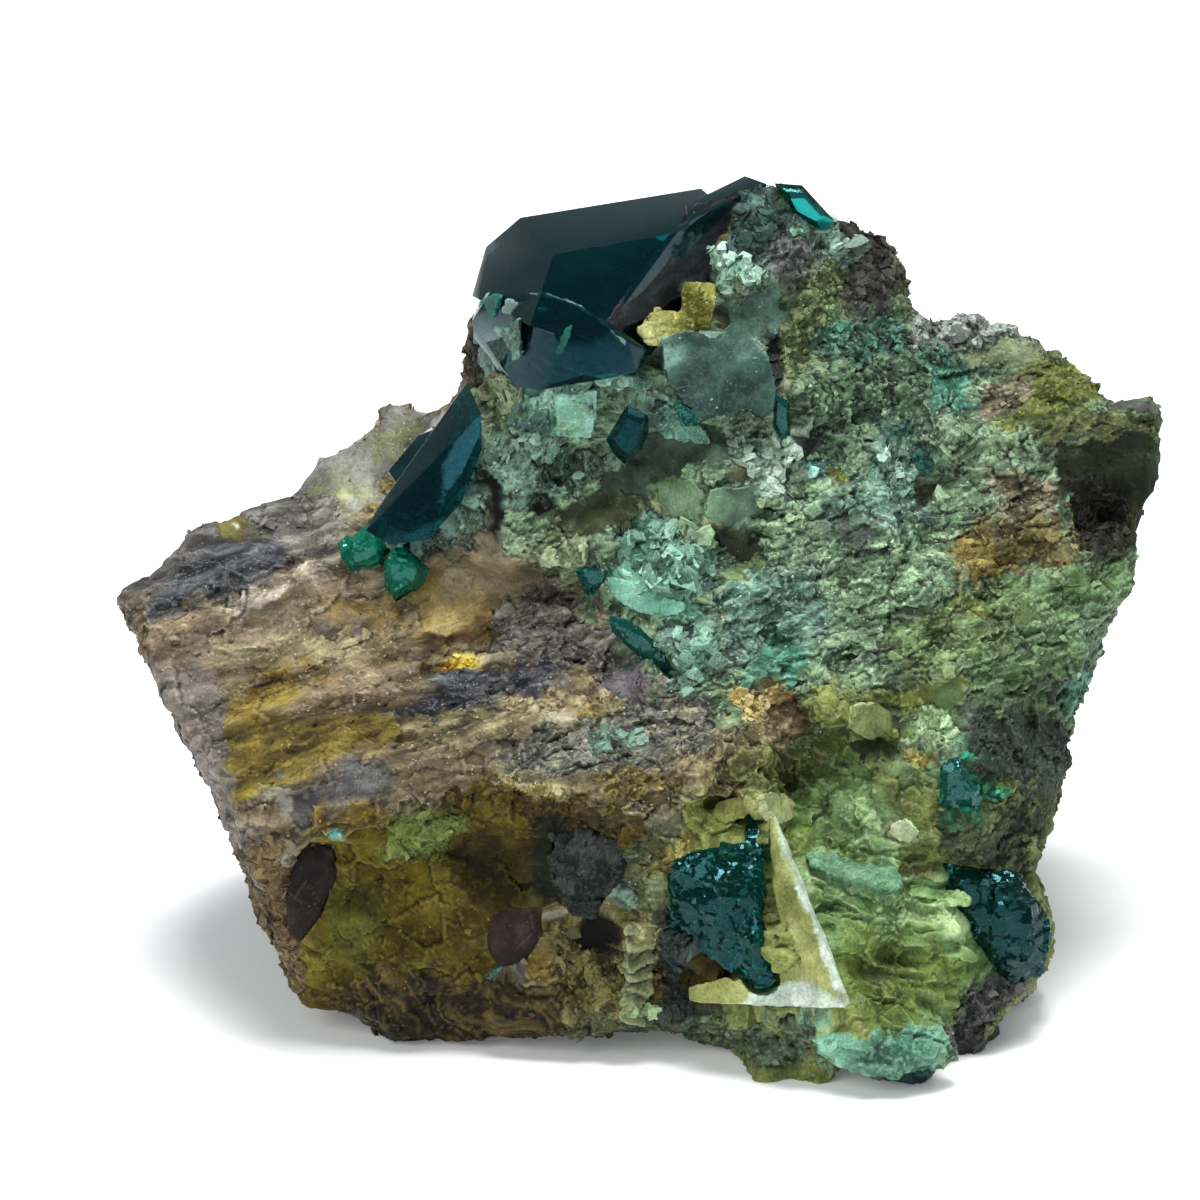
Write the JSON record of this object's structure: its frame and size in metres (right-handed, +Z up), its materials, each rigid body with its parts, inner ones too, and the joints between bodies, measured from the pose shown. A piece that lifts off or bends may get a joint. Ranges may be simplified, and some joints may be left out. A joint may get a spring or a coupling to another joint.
{
  "type": "dioptase specimen",
  "caption": "Hand specimen of dioptase: deep teal faceted crystals on a broken, copper-stained host rock that stands on its own flat base.",
  "frame": {"origin": "under the middle of the specimen's box, on the surface that it rests on", "axes": "+Z up; +X to the right along the longest side and +Y away from a person who sees the best side"},
  "size_m": [0.052, 0.0366, 0.0399],
  "materials": {
    "host_rock": "rough broken stone",
    "dioptase": "glassy",
    "thin_dioptase": "glassy",
    "dark_lens": "resinous",
    "ochre_crust": "earthy",
    "pale_plate": "chalky"
  },
  "bodies": {
    "root": {"host_rock": "host_rock", "crown_dioptase": "dioptase", "left_dioptase": "dioptase", "front_dioptase": "dioptase", "inset_dioptase": "dioptase", "wedge_dioptase": "dioptase", "summit_dioptase": "dioptase", "crease_dioptase": "dioptase", "lower_crease_dioptase": "dioptase", "plate_edge_dioptase": "dioptase", "lower_right_dioptase": "dioptase", "side_dioptase": "dioptase", "emerald_pair": "thin_dioptase", "emerald_foot": "thin_dioptase", "left_lens": "dark_lens", "middle_lens": "dark_lens", "grey_lens": "dark_lens", "ochre_crust": "ochre_crust", "standing_plate": "pale_plate"}
  },
  "joints": []
}
